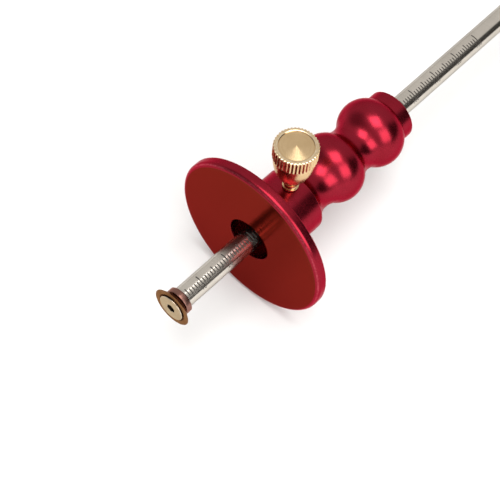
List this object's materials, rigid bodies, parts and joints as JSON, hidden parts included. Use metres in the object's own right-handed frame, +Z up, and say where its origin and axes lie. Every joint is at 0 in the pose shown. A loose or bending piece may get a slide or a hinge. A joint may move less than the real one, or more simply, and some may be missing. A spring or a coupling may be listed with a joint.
{
  "type": "wheel marking gauge",
  "caption": "Woodworking marking gauge: round fence with a two-ball grip, sliding rod with an engraved scale and a cutting wheel at its end, and a knurled thumbscrew lock.",
  "frame": {"origin": "centre of the fence's flat face, on the rod's axis", "axes": "+X along the rod from the fence face towards the grip's tail, +Z up the thumbscrew"},
  "size_m": [0.2022, 0.0508, 0.0545],
  "materials": {
    "red_anodised": "satin red anodised",
    "rod_steel": "ground and polished",
    "bronze": "turned bronze",
    "wheel_steel": "bronze-coloured hard coating",
    "pale_gold": "pale gold plating",
    "brass": "bright turned",
    "nylon": "natural"
  },
  "bodies": {
    "stock": {"stock": "red_anodised"},
    "rod": {"rod": "rod_steel", "spacer_collar": "bronze", "wheel_screw": "pale_gold"},
    "wheel": {"cutting_wheel": "wheel_steel"},
    "pad": {"pressure_pad": "nylon"},
    "thumbscrew": {"thumbscrew": "brass"}
  },
  "joints": [
    {"name": "rod_slide", "type": "slide", "parent": "stock", "child": "rod", "axis": [1, 0, 0], "range_m": [-0.1015, 0.0333]},
    {"name": "wheel_turn", "type": "hinge", "parent": "rod", "child": "wheel", "pos_m": [-0.0296, 0, 0], "axis": [1, 0, 0], "continuous": true},
    {"name": "pad_lift", "type": "slide", "parent": "stock", "child": "pad", "axis": [0, 0, 1], "range_m": [0, 0.0028]},
    {"name": "thumbscrew_turn", "type": "hinge", "parent": "pad", "child": "thumbscrew", "pos_m": [0.0159, 0, 0], "axis": [0, 0, 1], "range_deg": [0, 1440]}
  ],
  "couplings": [
    {"joint": "pad_lift", "follows": "thumbscrew_turn", "m_per_rad": 0.00011141}
  ]
}
